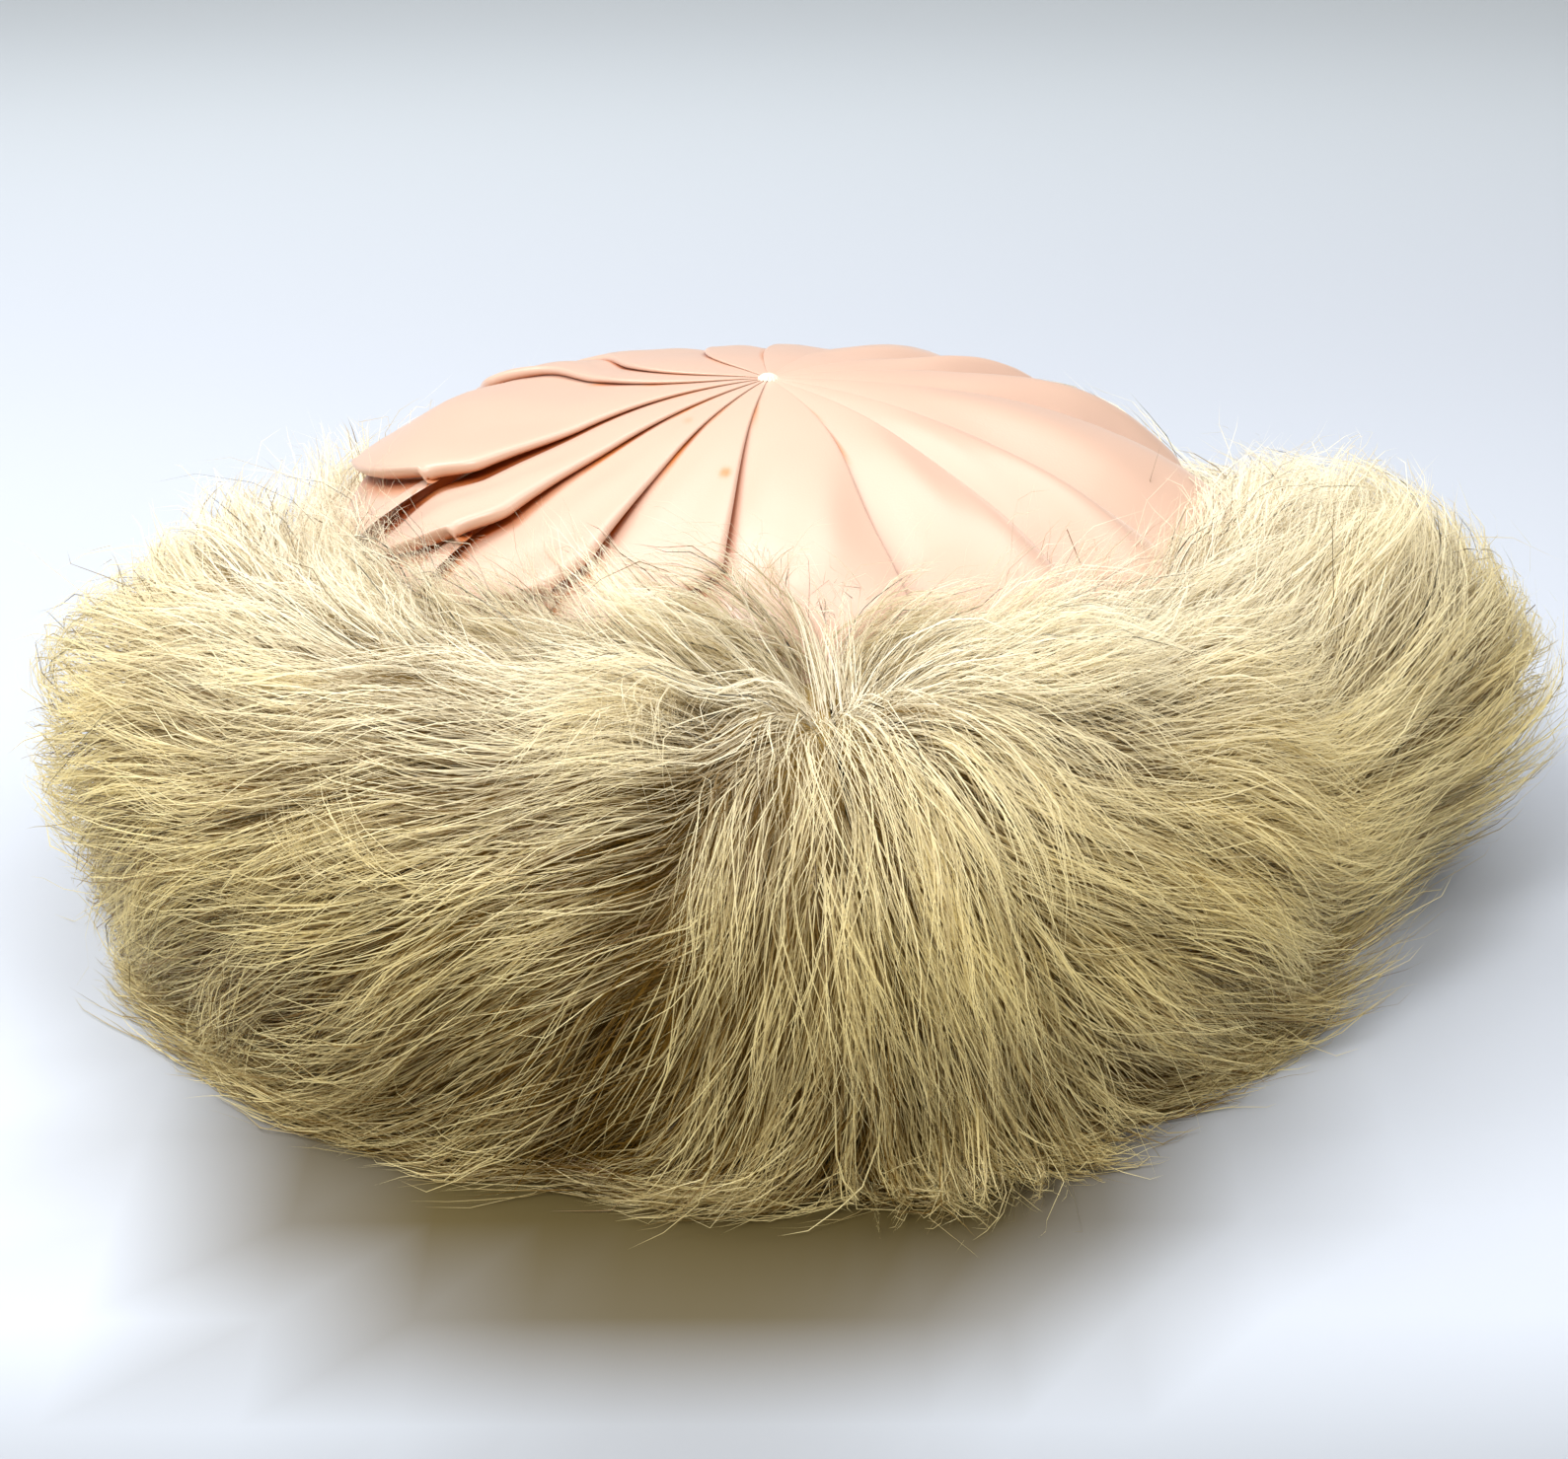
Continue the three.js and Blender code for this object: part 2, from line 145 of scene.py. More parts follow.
# The pleats: azimuth of the folded edge near the stitched point, how far it sweeps round on its way out,
# its step down, the radius where the puffed end turns under at the folded edge and at the tucked side,
# how far the edge swings back at its end, how round it is
PLEATS = np.array(
    [
        (2, 10, 5.6, 103, 103, -10, 0.7),
        (26, 7, 5.4, 103, 103, 2, 0.7),
        (47, 0, 4.6, 102, 103, 3, 0.5),
        (70, -3, 4.4, 98, 102, 5, 0.7),
        (94, -8, 4.4, 92, 98, 8, 0.9),
        (124, -22, 4.6, 88, 92, 8, 1.1),
        (160, -32, 5.0, 86, 90, 6, 1.2),
        (180, -36, 5.4, 84, 88, 4, 1.4),
        (199, 7, 6.2, 71, 92, 5, 1.7),
        (222, 1, 5.8, 76, 88, 4, 1.6),
        (241, 2, 4.8, 80, 88, 3, 1.4),
        (261, 2, 5.4, 78, 87, 6, 1.4),
        (296, -7, 5.2, 100, 98, 3, 0.7),
        (316, -3, 5.8, 101, 101, 6, 0.7),
        (336, -3, 6.4, 103, 103, -9, 0.7),
    ]
)
# A pleat less round than this is soft: it dents more and puffs up by so much
SOFT_BELOW, PUFF = 0.8, 5.5
# How far the pleats swell over the dome, by azimuth
SWELL = [(0, 0), (110, 0), (140, 4), (165, 6), (195, 6), (225, 3), (255, 1), (290, 0), (360, 0)]
# How much of a pleat's depth shows at a radius
RELIEF = [
    (0, 0.02),
    (8, 0.07),
    (20, 0.14),
    (40, 0.28),
    (55, 0.42),
    (70, 0.64),
    (80, 0.95),
    (90, 1),
    (97, 0.8),
    (106, 0.5),
]
# Points across a pleat: over its face, round its folded edge, back under it
FACE_COLUMNS, EDGE_COLUMNS, BACK_COLUMNS = 16, 5, 4
# Points down a pleat: over the dome, round its puffed end, on to the hem; and up the lining
DOME_ROWS, END_ROWS, HEM_ROWS, LINING_ROWS = 84, 14, 28, 24
# Where the first row stands, as a share of the way, and the least radius used to turn widths into angles
FIRST_ROW, LEAST_RADIUS = 0.004, 0.4
# The satin in the light, then painted shade in a fold and at the bottom of one
SATIN_AND_PAINTED_FOLD_SHADE = ("#ceac98", "#c8783c", "#9c4a16")
# The brown stains on the satin: azimuth, radius, half width, strength
STAINS = [
    (259.3, 44.4, 1.1, 0.75),
    (331.8, 58.8, 0.9, 0.4),
    (233.5, 26.8, 0.9, 0.3),
    (257, 88.5, 0.8, 0.5),
]
STAIN_TINT = "#c9762a"


def crown_height(radius):
    """The dome's height: it falls from the top by the drop times 1 - (1 - (radius / widest)^2)^0.625."""
    return CROWN_TOP - CROWN_DROP + CROWN_DROP * np.maximum(1 - (radius / CROWN_RADIUS) ** 2, 0) ** 0.625


def crown_meridian():
    """The crown's outline from the stitched point to the hem in even steps: points, normals, lengths."""
    r = CROWN_RADIUS * np.sin(np.linspace(0, np.pi / 2, 40))
    line = spline(np.vstack([np.stack([r, crown_height(r)], 1), HEM]), 600)
    along = np.gradient(line, axis=0)
    normal = unit(np.stack([-along[:, 1], along[:, 0]], 1))
    length = np.append(0, np.cumsum(np.linalg.norm(np.diff(line, axis=0), axis=1)))
    return line, normal, length


def on_meridian(meridian, at):
    """Radius, height, and the normal's two parts, at lengths down the crown's outline."""
    line, normal, length = meridian
    return (np.interp(at, length, column) for column in (*line.T, *normal.T))


def across_pleats():
    """The columns of the sheet: their pleat, share of the way over its face, part, share of that part.

    Part 0 is the face, 1 the folded edge, and 2 the cloth that goes back under it."""
    over_face = 1 - (1 - np.linspace(0, 1, FACE_COLUMNS)) ** 1.25
    share = np.append(over_face, np.ones(EDGE_COLUMNS + BACK_COLUMNS))
    part = np.repeat([0, 1, 2], [FACE_COLUMNS, EDGE_COLUMNS, BACK_COLUMNS])
    round_edge, under = np.linspace(0.2, 1, EDGE_COLUMNS), np.linspace(0.25, 0.999, BACK_COLUMNS)
    within = np.concatenate([np.zeros(FACE_COLUMNS), round_edge, under])
    count = len(PLEATS)
    return np.repeat(np.arange(count), len(share)), *(np.tile(x, count) for x in (share, part, within))


def down_pleats():
    """The rows of the sheet: share of the way to the puffed end, turn round it, share of the rest."""
    zone = np.append(np.linspace(FIRST_ROW, 1, DOME_ROWS) ** 0.9, np.ones(END_ROWS + HEM_ROWS))
    half_circle = np.linspace(0, np.pi, END_ROWS + 1)[1:]
    turn = np.concatenate([np.zeros(DOME_ROWS), half_circle, np.full(HEM_ROWS, np.pi)])
    rest = np.append(np.zeros(DOME_ROWS + END_ROWS), np.linspace(0, 1, HEM_ROWS + 1)[1:])
    return zone[:, None], turn[:, None], rest[:, None]


def crown_surface():
    """The pleated sheet and its lining as one grid of points, and how much painted shade each takes, 0 to
    1.

    Across a pleat the sheet starts under the fold before it, rises over the face as 1 - (1 - share)^1.8
    of the depth, turns round the folded edge on a half circle, and goes back under it. Down a pleat it
    follows the dome to the roll radius, turns under on another half circle as high as the pleat stands
    there, starts again a little further in, and runs to the hem. The lining comes back up inside."""
    meridian = crown_meridian()
    line, _, length = meridian
    dome = np.argmax(line[:, 0])
    edge, bend, depth, roll, roll_tucked, hook, round_ = PLEATS.T
    which, share, part, within = across_pleats()
    before = (which - 1) % len(PLEATS)
    zone, turn, rest = down_pleats()
    roll_at = lerp(roll_tucked[which], roll[which], share**2.2)
    to_roll = np.interp(roll_at, line[:dome, 0], length[:dome])[None, :] * zone
    radius0 = np.interp(to_roll, length, line[:, 0])
    on_dome = turn == 0

    # the steps, and how wide each pleat is here
    relief = reading(RELIEF, 1, radius0)
    deep, deep_before = depth[which] * relief, depth[before] * relief
    sweep = smooth(radius0, 8, 62)
    here, there = (
        edge[k] + bend[k] * sweep - hook[k] * smooth(radius0, roll[k] - 9, roll[k] + 1)
        for k in (which, before)
    )
    arc = np.radians((here - there) % 360) * np.maximum(radius0, LEAST_RADIUS)
    tuck, tuck_before = (np.minimum(0.3 * arc, 1.5 + 0.6 * step) for step in (deep, deep_before))
    fold = np.minimum(np.minimum(round_[which], 0.42 * deep), 0.12 * arc)
    # across and height over the face, round the edge and back under it
    x_face = lerp(-arc - tuck_before, -fold, share)
    seen = np.clip((x_face + arc) / arc, 0, 1)
    h_face = -deep_before * (1 - seen) ** 1.8
    angle = np.pi / 2 - np.pi * within
    x_edge, h_edge = -fold + fold * np.cos(angle), -fold + fold * np.sin(angle)
    x_back, h_back = lerp(-fold, -tuck, within), lerp(-2 * fold, -deep, within)
    x = np.where(part == 0, x_face, np.where(part == 1, x_edge, x_back))
    h = np.where(part == 0, h_face, np.where(part == 1, h_edge, h_back))
    blend = smooth(share, 0, 0.9)
    floor = np.maximum(lerp(deep_before, deep, blend), -h)
    stands = h + floor
    # the end of the pleat turns under on a half circle
    height = -floor + stands * (1 + np.cos(turn)) / 2
    lip = 0.5 * stands * np.sin(turn)
    cave = 4.0 * smooth(stands, 1.5, 6) * (1 - np.cos(turn)) / 2
    # dents in the cloth, deeper towards the band, and the puff of the soft pleats
    phase = 2.4 * which
    dent = np.sin(seen * 5.5 + phase) * np.sin(radius0 / 17 + 1.7 * phase)
    dent = dent + 0.5 * np.sin(seen * 11 + radius0 / 9 + phase)
    soft = round_[which] < SOFT_BELOW
    height = height - (0.4 + 0.6 * soft) * (1 + dent) * smooth(radius0, 25, 80) * on_dome
    height = height + PUFF * soft * np.sin(np.pi * seen**1.3) * smooth(radius0, 25, 85) * on_dome
    # down the outline, with the swell
    down = to_roll + lip - cave
    down = down + (length[-1] - down) * rest**1.1
    height = height * np.where(rest > 0, 1 - smooth(rest, 0.3, 0.75), 1)
    radius, z, nr, nz = on_meridian(meridian, down)
    over = smooth(radius, 40, 74) * (1 - smooth(radius, 84, 97)) * (rest < 0.9)
    height = height + over * reading(SWELL, 1, here % 360)
    azimuth = here + np.degrees(x / np.maximum(radius0, LEAST_RADIUS))
    outer = turned(radius + nr * height, azimuth, z + nz * height)
    # the painted shade: deep in the folds, beside them, and under the puffed ends
    back, beyond = 0.5 + 0.5 * within, -(x_face + arc)
    shade = np.where(part == 2, back, np.where(part == 1, smooth(within, 0.35, 1) * 0.5, 0.0))
    under = (part == 0) * smooth(beyond, -0.8, 0.3) * smooth(deep_before, 0.2, 1.2)
    near = (part == 0) * smooth(beyond, -0.25 * deep_before - 0.4, 0) * smooth(deep_before, 0.5, 3)
    shade = np.maximum.reduce([shade * smooth(deep, 0.3, 2.5), under, near * 0.6])
    shade = shade * np.where(turn > 0, (1 + np.cos(turn)) / 2, 1)
    beneath = smooth(turn, 1.2, 2.6) * smooth(stands, 1.5, 5) * (1 - smooth(rest, 0.02, 0.1))
    shade = np.maximum(shade, beneath)
    # the lining, smooth, deeper than the deepest fold
    up = np.linspace(1, FIRST_ROW, LINING_ROWS)[:, None] * length[-1]
    r, z, nr, nz = on_meridian(meridian, up)
    step = lerp(depth[before], depth[which], blend)[None, :]
    inset = 2 + step * reading(RELIEF, 1, r) * smooth(z, 34, 60)
    last = FACE_COLUMNS + EDGE_COLUMNS + BACK_COLUMNS - 1
    even = (edge[0] + 360 * (np.arange(len(which)) - last) / len(which))[None, :]
    inner = turned(r - nr * inset, even, z - nz * inset)
    return np.vstack([outer, inner]), np.vstack([shade, 0 * inner[..., 0]])


def make_crown(material):
    """The crown's grid closed at the stitched point, outside and inside, painted brown in the folds as
    shade, with brown stains.
    """
    points, shade = crown_surface()
    rows, columns = shade.shape
    ends = np.array([[0, 0, CROWN_TOP - 0.6], [0, 0, CROWN_TOP - 3]])
    all_points = np.vstack([points.reshape(-1, 3), ends])
    c = np.arange(columns)
    top = np.stack([np.full(columns, rows * columns), c, (c + 1) % columns], 1)
    last = (rows - 1) * columns
    low = np.stack([np.full(columns, rows * columns + 1), last + (c + 1) % columns, last + c], 1)
    # painted shade: the satin's tint darkens to brown by the shade from crown_surface; the top point takes
    # 0.3
    deep = np.append(shade.ravel(), [0.3, 0])[:, None]
    bright, brown, dark = (linear(code) for code in SATIN_AND_PAINTED_FOLD_SHADE)
    tint = lerp(lerp(bright, brown, smooth(deep, 0, 0.55)), dark, smooth(deep, 0.5, 1))
    for azimuth, radius, size, strength in STAINS:
        middle = turned(np.array([radius]), azimuth, np.array([crown_height(radius)]))
        gap = (all_points - middle) / np.array([size, size * 1.7, 4])
        spot = strength * np.exp(-np.sum(gap**2, axis=1) ** 1.5)[:, None]
        tint = lerp(tint, linear(STAIN_TINT), spot)
    return piece("crown_satin", all_points, [grid_faces(rows, columns), top, low], material, tint)


# The fur

PARTING = 276.0
FUR_START = 92.0
# The band round the hat: azimuth, outer radius of the fur's body, height of its crest, how far its foot
# stands out, height of its inner edge on the crown
BAND = [
    (0, 154, 63, -16, 60),
    (20, 148, 55, -8, 54),
    (40, 142, 50, 0, 48),
    (60, 140, 54, 0, 48),
    (90, 140, 58, 0, 50),
    (120, 137, 55, 0, 48),
    (140, 131, 51, 0, 46),
    (155, 129, 50, 0, 47),
    (170, 136, 54, -2, 52),
    (185, 143, 61, -10, 60),
    (200, 145, 67, -14, 66),
    (215, 147, 70, -12, 71),
    (235, 148, 71, -6, 74),
    (255, 147, 71, -2, 74),
    (276, 145, 72, -2, 75),
    (288, 143, 71, -4, 71),
    (300, 140, 70, -6, 64),
    (309, 138, 68, -8, 60),
    (318, 136, 69, -12, 62),
    (330, 140, 71, -20, 66),
    (342, 150, 73, -26, 66),
    (350, 155, 70, -24, 64),
]
# The lay of the hair's surface over the band, as shares of the way out and of the crest's height
LAY = [
    (0, 0.84),
    (0.16, 0.97),
    (0.34, 1.03),
    (0.54, 1.0),
    (0.74, 0.9),
    (0.89, 0.72),
    (0.97, 0.5),
    (0.99, 0.28),
    (1.0, 0.1),
    (1.03, 0.01),
]
LAY_LINE = spline(LAY, 300)
LAY_SLOPE = np.gradient(LAY_LINE, axis=0)
# The way over the fur from the crown to the table, and round it in a degree
FACE_LENGTH, DEGREE = 128.0, 2.3
# How the hair lies: away from the parting, slant down from the band's direction at the crown, on the
# face and at the table, length of the hair, how far its tips stand off
NAP = [
    (-180, 10, 15, 35, 56, 9),
    (-150, 12, 14, 36, 54, 9),
    (-115, 14, 12, 32, 56, 11),
    (-80, 16, 20, 36, 58, 13),
    (-50, 8, 24, 40, 60, 11),
    (-28, 4, 28, 46, 60, 9),
    (-14, 6, 34, 46, 58, 5),
    (-11, 30, 70, 66, 56, 13),
    (0, 84, 88, 84, 54, 14),
    (8, 30, 56, 78, 56, 13),
    (16, 8, 26, 58, 60, 13),
    (26, 0, 12, 44, 60, 12),
    (34, 0, 12, 40, 58, 13),
    (38, 0, 14, 42, 56, 13),
    (42, 34, -18, -4, 58, 12),
    (70, 36, -20, -4, 60, 13),
    (100, 28, -10, 8, 58, 9),
    (140, 14, 6, 28, 56, 7),
    (180, 10, 15, 35, 56, 9),
]
# How far down the parting the whorl lies, from which the hair radiates, and its reach
WHORL, WHORL_REACH = 0.22, 24
# The valley left of the middle tuft, where the hair parts: its away at the crown, how much that grows
# down the face, its half width in degrees and its depth
VALLEY_AWAY, VALLEY_SLANT, VALLEY_WIDTH, VALLEY_DEPTH = -7, -12, 3.2, 8
# Inside this radius the stray hairs lie on the crown
ON_CROWN = 99
# Points of a lock's path, how deep in the skin it starts, and the most that it stands off
PATH_POINTS, ROOT, MOST_STAND = 9, -3.0, 30
# How far the hairs spread round their lock, the share by which they gather at its tip, and their frizz
SPREAD, GATHER, FRIZZ = 2.0, 0.9, 1.25
# Hair at the top of the coat and deep in it (the deep tint is painted shade between the hairs), near the
# crown (painted paler, as light) and near the table (painted darker, as shade), and the few dark hairs
PALE, DEEP_PAINTED_SHADE, DARK = ("#fff8e2", "#fff0b4"), ("#a08644", "#7c5c12"), ("#5b4a2c", "#8d7a50")


def in_valley(away, along):
    """1 at the bottom of the valley beside the middle tuft, less by e^-(gap / width)^2 away from it."""
    gap = (away - VALLEY_AWAY - VALLEY_SLANT * along) / VALLEY_WIDTH
    return np.exp(-(gap**2)) * smooth(along, 0.15, 0.35)


def fur_point(away, along, height):
    """Points over the fur's surface, off it by height, and the surface's outward normals there.

    The way out is the lay's reach times the band's width, plus the foot near the table. The height is
    the lay's rise times the crest, plus the lip near the crown, and over the crown more than the dome's."""
    azimuth = PARTING + away
    widest = reading(BAND, 1, azimuth, 360) - FUR_START
    crest = reading(BAND, 2, azimuth, 360)
    foot = reading(BAND, 3, azimuth, 360)
    height = height - VALLEY_DEPTH * in_valley(away, along)
    at = np.clip(along, 0, 1) * (len(LAY_LINE) - 1)
    knots = np.arange(len(LAY_LINE))
    reach, rise = (np.interp(at, knots, LAY_LINE[:, k]) for k in (0, 1))
    out = -np.interp(at, knots, LAY_SLOPE[:, 1]) * crest
    up = np.interp(at, knots, LAY_SLOPE[:, 0]) * widest
    norm = np.maximum(np.hypot(out, up), 1e-9)
    out, up = out / norm, up / norm
    lip = (reading(BAND, 4, azimuth, 360) - LAY[0][1] * crest) * (1 - smooth(reach, 0, 0.34))
    over = np.clip(-along, 0, 0.3) * FACE_LENGTH
    r = FUR_START + reach * widest + out * height + foot * smooth(-rise, -0.7, 0) - over
    z = rise * crest + up * height + lip
    least = crown_height(np.minimum(r, ON_CROWN)) * (over > 0) + 0.5 + 0.3 * height
    z = np.where(r < ON_CROWN, np.maximum(z, least), z)
    return turned(r, azimuth, z), turned(out, azimuth, up)


def drift(away, along, seed):
    """A smooth wandering from -1 to 1 over the band: sine waves 25 to 60 mm long, in all directions."""
    draw = np.random.default_rng(seed)
    waves = 6
    total = 0
    for _ in range(waves):
        heading, phase = draw.uniform(0, 2 * np.pi, 2)
        pitch = 2 * np.pi / draw.uniform(25, 60)
        way = 2.2 * away * np.cos(heading) + FACE_LENGTH * along * np.sin(heading)
        total = total + np.sin(pitch * way + phase)
    return total / waves * 1.6


def guides(low, high, share_low, share_high, count, seed, loose):
    """Paths of the locks on one part of the band, as away, along and height at each of their points.

    Each starts at a root, spread evenly over the part by an additive sequence with the plastic number,
    follows the nap in short steps, and rises off the skin as 1 - (1 - share)^2.2 of its stand-off. Near
    the whorl at the top of the parting the hair radiates from it instead."""
    draw = np.random.default_rng(seed)
    i = np.arange(count)
    away = lerp(low, high, (0.5 + 0.7548776662 * i) % 1)
    along = lerp(share_low, share_high, (0.5 + 0.5698402910 * i) % 1)
    side = np.where(away < 0, -1.0, 1.0)
    length = reading(NAP, 4, away) * draw.uniform(0.6, 1.1, count)
    length = length * lerp(0.75, 1.0, smooth(along, 0.05, 0.35))
    stand = loose * reading(NAP, 5, away) * draw.uniform(0.35, 1.25, count)
    stand = np.minimum(stand * (1 + 0.5 * drift(away, along, 3)), MOST_STAND)
    swerve = loose * draw.normal(0, 11, count) + 14 * drift(away, along, 4)
    bend = loose * draw.normal(0, 25, count) + 20 * drift(away, along, 5)
    step = length / (PATH_POINTS - 1)
    path = [(away, along, np.full(count, ROOT))]
    for k in range(1, PATH_POINTS):
        face = np.clip(along / 0.45, 0, 1)
        foot = np.clip((along - 0.45) / 0.55, 0, 1)
        at_crown, on_face, at_table = (reading(NAP, column, away) for column in (1, 2, 3))
        slant = lerp(lerp(at_crown, on_face, face), at_table, foot)
        share = k / PATH_POINTS
        droop = 18 * smooth(away, -2, 8) * (1 - smooth(away, 36, 44)) * share**2
        slant = np.radians(slant + swerve + bend * (share - 0.4) + droop)
        move = np.stack([side * np.cos(slant), np.sin(slant)], 1)
        radius = FUR_START + 50 * np.clip(along * 2.2, 0, 1)
        gap = np.stack([np.radians(away) * radius, (along - WHORL) * FACE_LENGTH], 1)
        near = np.exp(-((np.linalg.norm(gap, axis=1) / WHORL_REACH) ** 2))[:, None]
        move = unit(lerp(move, unit(gap), near * 0.85))
        away = away + np.degrees(move[:, 0] * step / radius)
        along = along + move[:, 1] * step / FACE_LENGTH
        rise = 1 - (1 - k / (PATH_POINTS - 1)) ** 2.2
        path.append((away, along, ROOT + (stand - ROOT) * rise))
    return np.array(path).transpose(2, 0, 1)


def tufted(paths, heads, pull):
    """The locks' paths drawn in to the nearest tuft's own path, the more the nearer to their tips."""
    gap = (paths[:, None, 0, :2] - heads[None, :, 0, :2]) * np.array([DEGREE, FACE_LENGTH])
    nearest = np.argmin(np.sum(gap**2, axis=2), axis=1)
    s = np.linspace(0, 1, paths.shape[1])[None, :, None]
    return lerp(paths, heads[nearest], pull * smooth(s, 0, 1))


def strands(paths, per_lock, points, seed):
    """Hairs gathered in locks round their guide paths.

    A hair is its guide's line moved sideways and outwards by a draw of its own, which shrinks towards
    the tip, plus two waves of frizz that grow with the share of the length. Given back are its points,
    the coat's normals and the directions across it, shares of the length, its lock, how high in the
    coat each point lies for its tint (raised near the crown and round the whorl as painted light, and
    lowered in the valley as painted shade), how far along the face, and a tone of its own."""
    draw = np.random.default_rng(seed)
    count = len(paths) * per_lock
    lock = np.repeat(np.arange(len(paths)), per_lock)
    reach = draw.uniform(0.62, 1.04, count)
    s = np.linspace(0, 1, points)[None, :] * reach[:, None]
    at = s * (paths.shape[1] - 1)
    i = np.minimum(at.astype(int), paths.shape[1] - 2)
    f = (at - i)[..., None]
    own = paths[lock[:, None], i] * (1 - f) + paths[lock[:, None], i + 1] * f
    broad = draw.uniform(0.5, 1.7, (len(paths), 1))[lock]
    aside, off = draw.normal(0, SPREAD, (2, count, 1)) * broad
    tight = 1 - GATHER * draw.uniform(0.4, 1.0, (len(paths), 1))[lock] * smooth(s, 0.0, 1.0)
    stray = np.where(draw.uniform(size=(count, 1)) < 0.1, draw.normal(0, 7, (count, 1)) * s**2, 0)
    wave = draw.uniform(5, 19, (2, count, 1))
    phase = draw.uniform(0, 2 * np.pi, (2, count, 1))
    curl = FRIZZ * draw.uniform(0.4, 1.6, (count, 1)) * s**1.3
    fan = draw.normal(0, 2.6, (count, 1)) * s
    sideways = aside * tight + stray + fan + curl * np.sin(wave[0] * s + phase[0])
    lifted = np.abs(off) * tight * 0.6 + 0.5 * np.abs(stray) + curl * np.sin(wave[1] * s + phase[1])
    away, low, height = own[..., 0], own[..., 1], own[..., 2] + lifted
    p, n = fur_point(away, low, height)
    across = unit(np.cross(unit(np.gradient(p, axis=1)), n))
    p = p + across * sideways[..., None]
    p[..., 2] += np.maximum(0.35 + 0.5 * draw.uniform(size=(count, 1)) - p[..., 2], 0)
    # painted light and shade: the coat height that sets the tint is raised near the crown and round the
    # whorl so the hair there is paler, and lowered in the valley so the hair there is darker
    whorl = np.exp(-((away * DEGREE / 26) ** 2) - (((low - WHORL) * FACE_LENGTH + 8) / 16) ** 2)
    coat = height + 16 * (1 - smooth(low, 0.05, 0.24)) + 12 * whorl - 9 * in_valley(away, low)
    return p, n, across, s, lock, coat, low, draw.uniform(size=count)


def ribbons(name, hairs, width, material, dark_share, seed):
    """Each hair as a thin ribbon that tapers to a point, turned about its line by a draw of its own.

    Its tint runs from deep down in the coat, painted darker there as shade between the hairs, to pale at
    its top; it is painted darker towards the table as shade and paler near the crown as light. It differs
    from lock to lock and from hair to hair, and a few hairs are dark. Its normals lean to the coat's, so
    that it shades as one body."""
    p, n, across, s, lock, height, low, tone = hairs
    draw = np.random.default_rng(seed)
    count, points = s.shape
    turn = draw.normal(0, 0.7, (count, 1, 1))
    flat = across * np.cos(turn) + n * np.sin(turn)
    taper = np.interp(s / s[:, -1:], [0, 0.25, 0.7, 1], [0.8, 1, 0.75, 0.1])
    half = 0.5 * width * draw.uniform(0.6, 1.5, (count, 1)) * taper
    left, right = p - flat * half[..., None], p + flat * half[..., None]
    verts = np.stack([left, right], 2)[:, :-1].reshape(count, -1, 3)
    verts = np.concatenate([verts, p[:, -1:]], 1)
    own = np.cross(flat, unit(np.gradient(p, axis=1)))
    own = own * np.sign(np.sum(own * n, axis=-1, keepdims=True) + 1e-9)
    bowed = unit(n * 0.45 + own * 0.75)
    normal = np.repeat(bowed[:, :-1], 2, 1)
    tilt = np.tile(np.array([-0.35, 0.35]), points - 1)[None, :, None]
    normal = unit(normal + tilt * np.repeat(flat[:, :-1], 2, 1))
    normal = np.concatenate([normal, bowed[:, -1:]], 1)
    base = np.arange(count)[:, None] * (2 * points - 1)
    k = 2 * np.arange(points - 2)[None, :]
    quads = (base + k)[..., None] + np.array([0, 1, 3, 2])
    tips = base + np.array([2 * points - 4, 2 * points - 3, 2 * points - 2])
    lock_tone = np.random.default_rng(seed + 1).normal(0, 0.12, lock.max() + 1)[lock]
    # painted shade: the mix darkens deep in the coat and towards the table; the tone and lock terms are the
    # hair's own
    mix = 0.05 + 0.3 * s + 0.85 * smooth(height, -2, 11) + 1.3 * (tone - 0.5)[:, None]
    mix = mix + lock_tone[:, None] - 0.46 * smooth(low, 0.48, 0.98)
    mix = np.clip(mix, 0, 1)[..., None]
    pale = lerp(*(linear(code) for code in PALE), smooth(low, 0.15, 0.75)[..., None])
    deep = lerp(*(linear(code) for code in DEEP_PAINTED_SHADE), smooth(low, 0.1, 0.45)[..., None])
    dark = lerp(*(linear(code) for code in DARK), tone[:, None, None])
    is_dark = (draw.uniform(size=count) < dark_share)[:, None, None]
    colour = np.where(is_dark, dark, lerp(deep, pale, mix))
    colour = np.concatenate([np.repeat(colour[:, :-1], 2, 1), colour[:, -1:]], 1)
    verts, colour, normal = (values.reshape(-1, 3) for values in (verts, colour, normal))
    return piece(name, verts, [quads.reshape(-1, 4), tips], material, colour, normal)


# The undercoat: how far it lies under the fur's surface, its lowest height, and its side to the crown
UNDERCOAT_SUNK, UNDERCOAT_FLOOR = 4.5, 0.8
INNER_SIDE = [(92.8, 2), (92.8, 27), (96.5, 34), (104.5, 42), (107, 51)]


